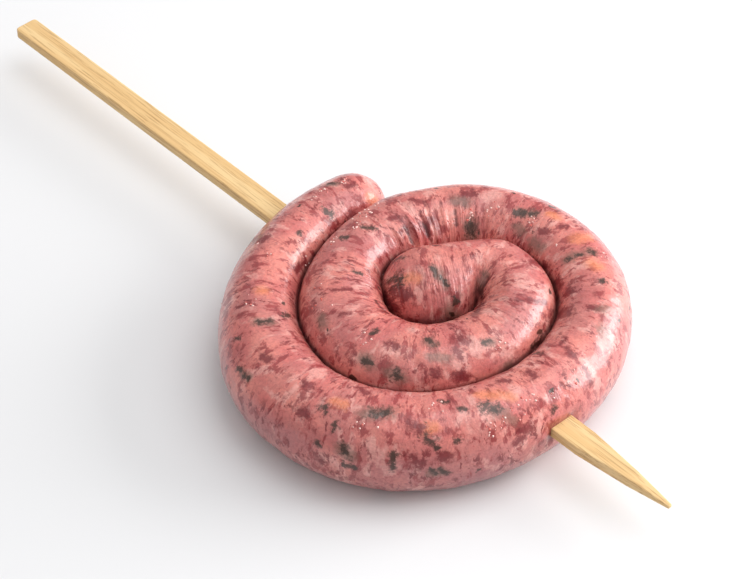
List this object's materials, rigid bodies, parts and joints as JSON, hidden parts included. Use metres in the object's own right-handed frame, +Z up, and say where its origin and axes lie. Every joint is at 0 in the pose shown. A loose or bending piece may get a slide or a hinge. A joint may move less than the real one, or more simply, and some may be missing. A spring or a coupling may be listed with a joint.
{
  "type": "coiled sausage on a skewer",
  "caption": "Raw coarse-ground sausage with herbs, wound flat into a coil and held by a flat pointed bamboo skewer pushed through its side.",
  "frame": {"origin": "on the table under the straight inner end of the sausage, on the strip that rests on the table", "axes": "+X along the skewer towards its point, +Z up from the table"},
  "size_m": [0.25, 0.1082, 0.025],
  "materials": {
    "sausage": "moist raw pork in a thin natural casing, with herbs",
    "skewer": "pale bare bamboo"
  },
  "bodies": {
    "root": {"sausage": "sausage", "skewer": "skewer"}
  },
  "joints": []
}
